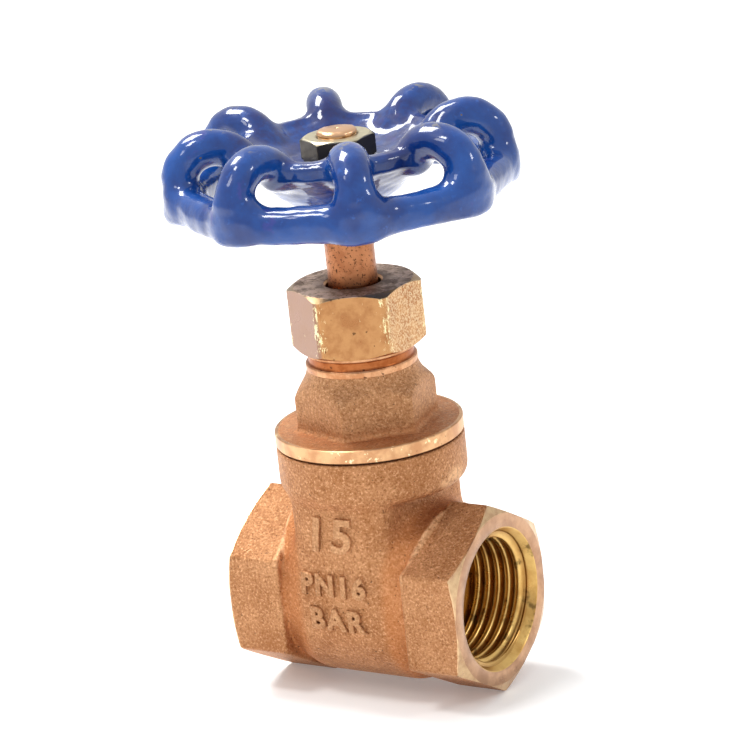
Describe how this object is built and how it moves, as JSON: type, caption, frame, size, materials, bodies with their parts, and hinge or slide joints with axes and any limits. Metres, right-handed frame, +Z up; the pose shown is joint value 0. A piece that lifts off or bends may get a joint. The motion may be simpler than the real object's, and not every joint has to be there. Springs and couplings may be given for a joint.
{
  "type": "gate valve",
  "caption": "Screwed bronze gate valve with hexagon pipe ports, flanged bonnet, packing nut, turning stem and blue ribbed handwheel.",
  "frame": {"origin": "where the pipe axis and the stem axis cross", "axes": "+X along the pipe axis, +Z up the stem axis to the handwheel, +Y across"},
  "size_m": [0.0542, 0.0542, 0.0912],
  "materials": {
    "cast_bronze": "shot-blasted cast bronze, fine grain",
    "machined_brass": "turned, bright",
    "forged_brass": "pickled forging with bright machined corners",
    "stem_bronze": "turned bar, dark specks",
    "blue_enamel": "thick dipped gloss enamel over a casting",
    "nut_steel": "yellow-passivated, dull",
    "gasket_fibre": "compressed fibre",
    "packing": "braided, lubricated"
  },
  "bodies": {
    "valve": {"valve_body": "cast_bronze", "bonnet": "cast_bronze", "bonnet_gasket": "gasket_fibre", "stem_retaining_ring": "machined_brass", "packing_ring_1": "packing", "packing_ring_2": "packing", "packing_ring_3": "packing", "gland_follower": "machined_brass", "packing_nut": "forged_brass"},
    "spindle": {"stem": "stem_bronze", "handwheel": "blue_enamel", "handwheel_nut": "nut_steel"},
    "gate": {"wedge": "machined_brass"}
  },
  "joints": [
    {"name": "spindle_turn", "type": "hinge", "parent": "valve", "child": "spindle", "pos_m": [0, 0, 0], "axis": [0, 0, 1], "range_deg": [0, 2230]},
    {"name": "gate_lift", "type": "slide", "parent": "valve", "child": "gate", "axis": [0, 0, 1], "range_m": [0, 0.0155]}
  ],
  "couplings": [
    {"joint": "gate_lift", "follows": "spindle_turn", "m_per_rad": 0.00039789}
  ]
}
